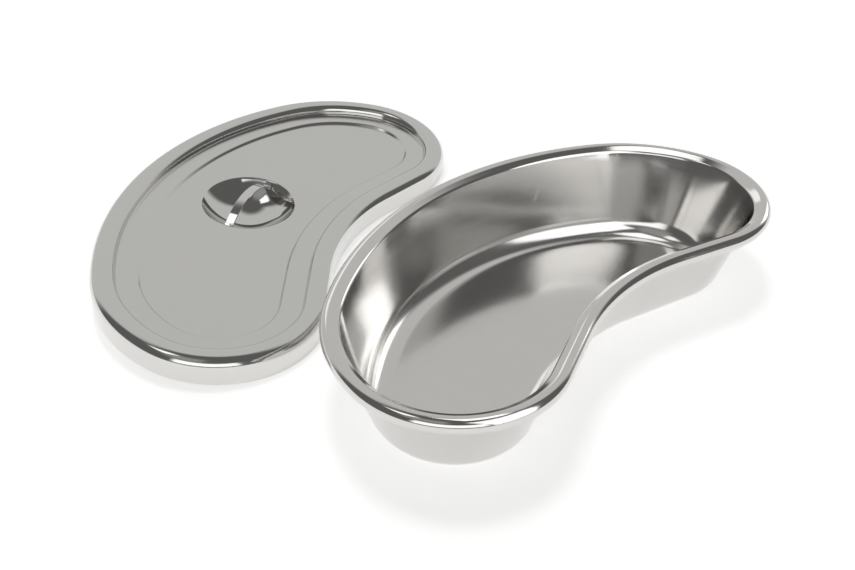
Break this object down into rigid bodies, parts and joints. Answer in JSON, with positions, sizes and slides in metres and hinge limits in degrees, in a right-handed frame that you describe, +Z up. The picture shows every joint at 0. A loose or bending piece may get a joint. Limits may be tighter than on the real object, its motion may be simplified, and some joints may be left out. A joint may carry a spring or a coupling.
{
  "type": "kidney dish",
  "caption": "Kidney-shaped steel instrument dish with a rolled rim, and its matching lid with a sunken finger recess bridged by a strap handle.",
  "frame": {"origin": "centre of the dish's flat underside, on the surface that it stands on", "axes": "+X along the dish's length, +Y towards its convex back and the lid behind it, +Z up"},
  "size_m": [0.2695, 0.2885, 0.044],
  "materials": {
    "dish_steel": "satin inside and out, polished rolled rim",
    "lid_steel": "satin, with a brighter polished finger recess",
    "handle_steel": "polished"
  },
  "bodies": {
    "dish": {"dish": "dish_steel"},
    "lid": {"lid": "lid_steel", "strap_handle": "handle_steel"}
  },
  "joints": [
    {"name": "lid_lift", "type": "slide", "parent": "dish", "child": "lid", "axis": [0, 0, 1], "range_m": [0, 0.15]}
  ]
}
